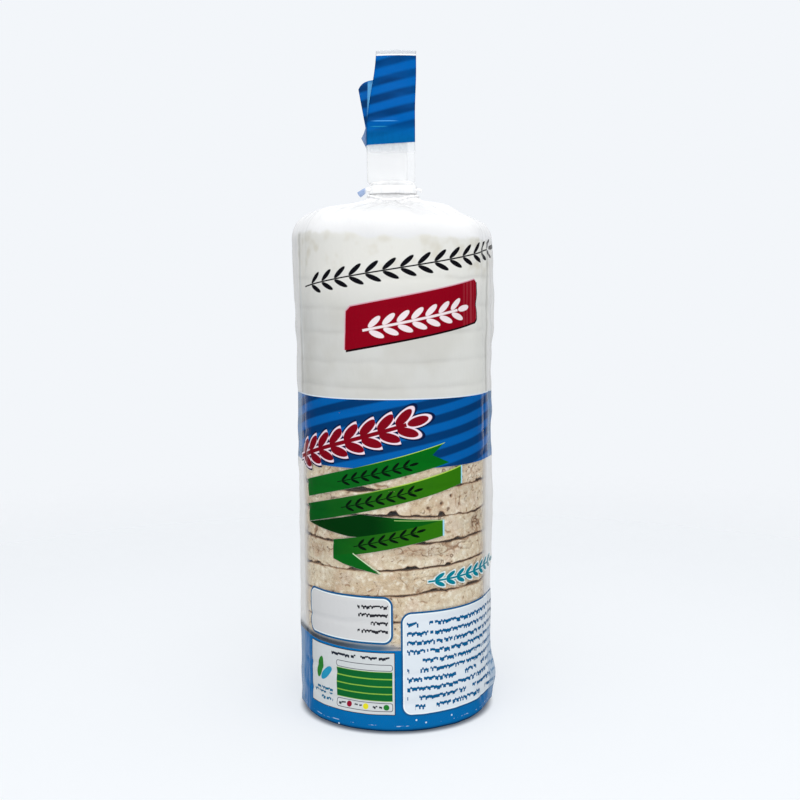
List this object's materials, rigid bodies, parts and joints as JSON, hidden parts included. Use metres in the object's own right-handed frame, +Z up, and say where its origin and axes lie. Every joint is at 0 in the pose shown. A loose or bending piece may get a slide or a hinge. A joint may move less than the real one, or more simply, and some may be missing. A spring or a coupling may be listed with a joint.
{
  "type": "sealed pack of puffed rice cakes",
  "caption": "Tall round film pack holding a stack of puffed rice cakes, with a clear window, a tied neck and a standing film tail.",
  "frame": {"origin": "middle of the foot, on the surface that the pack stands on", "axes": "+Z up along the stack, -Y out of the printed front with the clear window, +X to the right as seen from the front"},
  "size_m": [0.0973, 0.089, 0.3132],
  "materials": {
    "film": "thin glossy printed film, milky and clear in parts, softly creased",
    "tie": "narrow glossy white plastic strip"
  },
  "bodies": {
    "root": {"film_pack": "film", "tie": "tie"}
  },
  "joints": []
}
